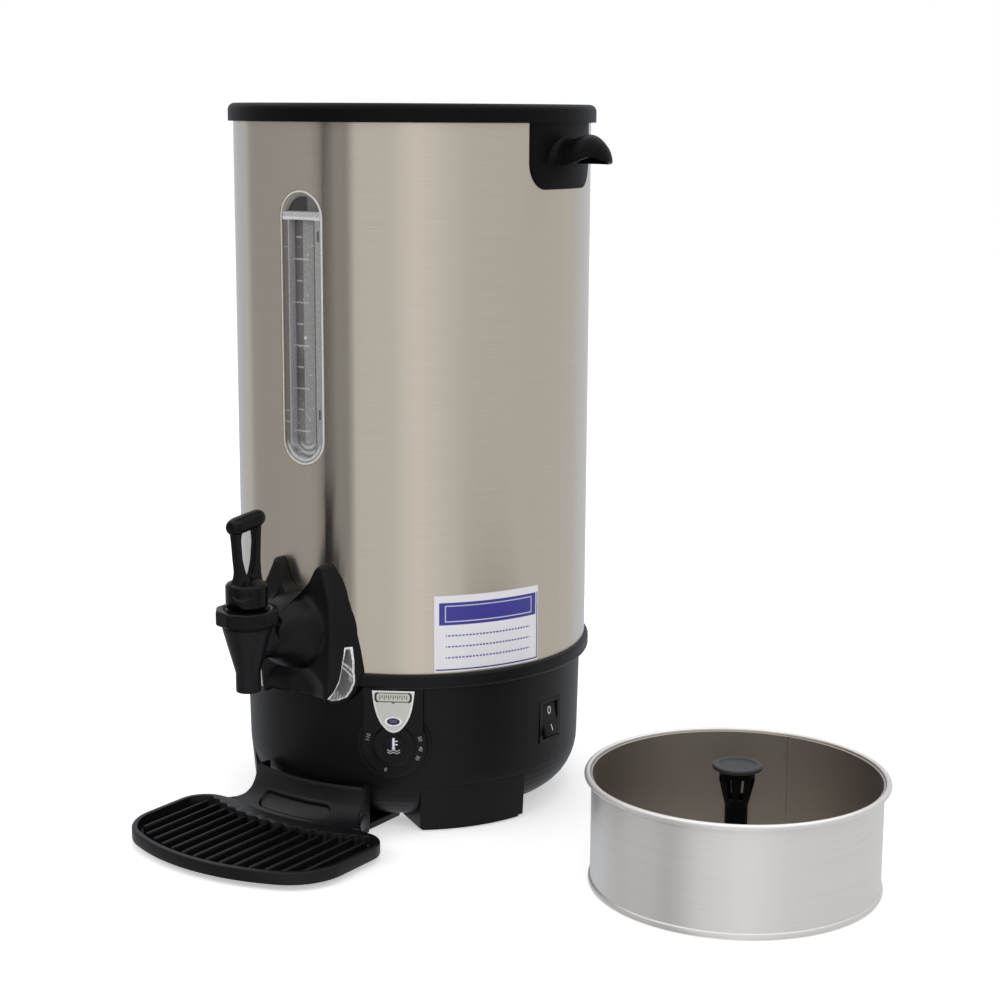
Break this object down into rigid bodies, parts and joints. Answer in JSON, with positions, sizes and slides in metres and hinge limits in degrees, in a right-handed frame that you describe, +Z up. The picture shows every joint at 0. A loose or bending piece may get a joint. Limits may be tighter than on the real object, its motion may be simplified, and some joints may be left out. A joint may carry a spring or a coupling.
{
  "type": "coffee urn",
  "caption": "Tall steel hot drink urn on a black base, with a front lever tap, a sight window, side handles, a drip tray in front and a percolator basket beside it.",
  "frame": {"origin": "on the urn's vertical axis, in the plane that its three rubber strips stand on", "axes": "+Z up; the tap, sight window and drip tray face -Y; +X is to the right for someone facing the tap, where the basket stands"},
  "size_m": [0.5795, 0.3987, 0.5204],
  "materials": {
    "black_plastic": "satin, fine grain",
    "zinc_sheet": "plated sheet, matt",
    "screw_steel": "plated steel, turned",
    "rubber": "matt",
    "brushed_steel": "brushed round the body",
    "tank_steel": "fine brushed, bright",
    "clear_window": "clear moulded plastic",
    "silicone": "matt",
    "clear_lens": "clear moulded plastic",
    "lamp_holder": "moulded",
    "tap_dark_plastic": "satin",
    "spring_steel": "drawn wire",
    "tap_gloss_plastic": "smooth, half gloss",
    "printed_plate": "printed silver film on a moulded plate",
    "dial_plastic": "satin with printed marks",
    "brass": "turned",
    "copper": "drawn copper",
    "switch_plastic": "smooth",
    "heater_sheath": "drawn sheath, matt",
    "pale_plastic": "moulded",
    "gland_plastic": "satin",
    "lead_insulation": "sleeved bundle",
    "label_film": "printed film",
    "column_plastic": "satin"
  },
  "bodies": {
    "urn": {"base_housing": "black_plastic", "base_cover": "zinc_sheet", "base_screws": "screw_steel", "anti_slip_pads": "rubber", "outer_jacket": "brushed_steel", "top_collar": "black_plastic", "inner_tank": "tank_steel", "handle_right": "black_plastic", "handle_left": "black_plastic", "handle_screws": "screw_steel", "gauge_window": "clear_window", "gauge_gasket": "silicone", "gauge_nuts": "screw_steel", "tap_shroud": "black_plastic", "indicator_lens_right": "clear_lens", "indicator_lens_left": "clear_lens", "indicator_lamps": "lamp_holder", "tap_body": "black_plastic", "shank_spacer": "black_plastic", "shank_washer": "silicone", "shank_nut": "screw_steel", "tap_bonnet": "tap_dark_plastic", "tap_ring_nut": "tap_dark_plastic", "control_plate": "printed_plate", "thermostat": "zinc_sheet", "thermostat_bulb": "copper", "switch_housing": "switch_plastic", "heating_element": "heater_sheath", "thermal_cutout": "switch_plastic", "terminal_block": "pale_plastic", "cord_gland": "gland_plastic", "wiring_loom": "lead_insulation", "care_label": "label_film"},
    "lid": {"lid": "tank_steel", "lid_knob": "black_plastic", "lid_knob_screw": "screw_steel"},
    "tap_valve": {"valve_stem": "screw_steel", "seat_cup": "silicone", "valve_spring": "spring_steel"},
    "tap_lever": {"tap_lever": "tap_gloss_plastic", "lever_pin": "screw_steel"},
    "dial": {"dial_knob": "dial_plastic", "dial_shaft": "brass"},
    "power_switch": {"switch_rocker": "switch_plastic"},
    "drip_tray": {"drip_tray": "black_plastic"},
    "pump": {"pump_tube": "tank_steel"},
    "filter_basket": {"basket_shell": "tank_steel", "basket_floor": "tank_steel", "basket_column": "column_plastic", "column_cap": "column_plastic"}
  },
  "joints": [
    {"name": "lid_lift", "type": "slide", "parent": "urn", "child": "lid", "axis": [0, 0, 1], "range_m": [0, 0.15]},
    {"name": "valve_lift", "type": "slide", "parent": "urn", "child": "tap_valve", "axis": [0, 0, 1], "range_m": [0, 0.004], "stiffness_N_per_m": 600, "springref_m": -0.006, "deforming": ["valve_spring"]},
    {"name": "lever_tilt", "type": "hinge", "parent": "tap_valve", "child": "tap_lever", "pos_m": [0, -0.1945, 0.185], "axis": [1, 0, 0], "range_deg": [0, 30]},
    {"name": "dial_turn", "type": "hinge", "parent": "urn", "child": "dial", "pos_m": [0.0635, -0.10998, 0.068], "axis": [0.5, -0.866, 0], "range_deg": [-75, 210]},
    {"name": "rocker_tip", "type": "hinge", "parent": "urn", "child": "power_switch", "pos_m": [0.12378, -0.00216, 0.07], "axis": [0.0175, 0.9998, 0], "range_deg": [0, 24]},
    {"name": "tray_slide", "type": "slide", "parent": "urn", "child": "drip_tray", "axis": [0, -1, 0], "range_m": [0, 0.12]},
    {"name": "pump_lift", "type": "slide", "parent": "urn", "child": "pump", "axis": [0, 0, 1], "range_m": [0, 0.02]},
    {"name": "basket_lift", "type": "slide", "parent": "urn", "child": "filter_basket", "axis": [0, 0, 1], "range_m": [0, 0.3]}
  ],
  "couplings": [
    {"joint": "lever_tilt", "follows": "valve_lift", "rad_per_m": 130.9}
  ]
}
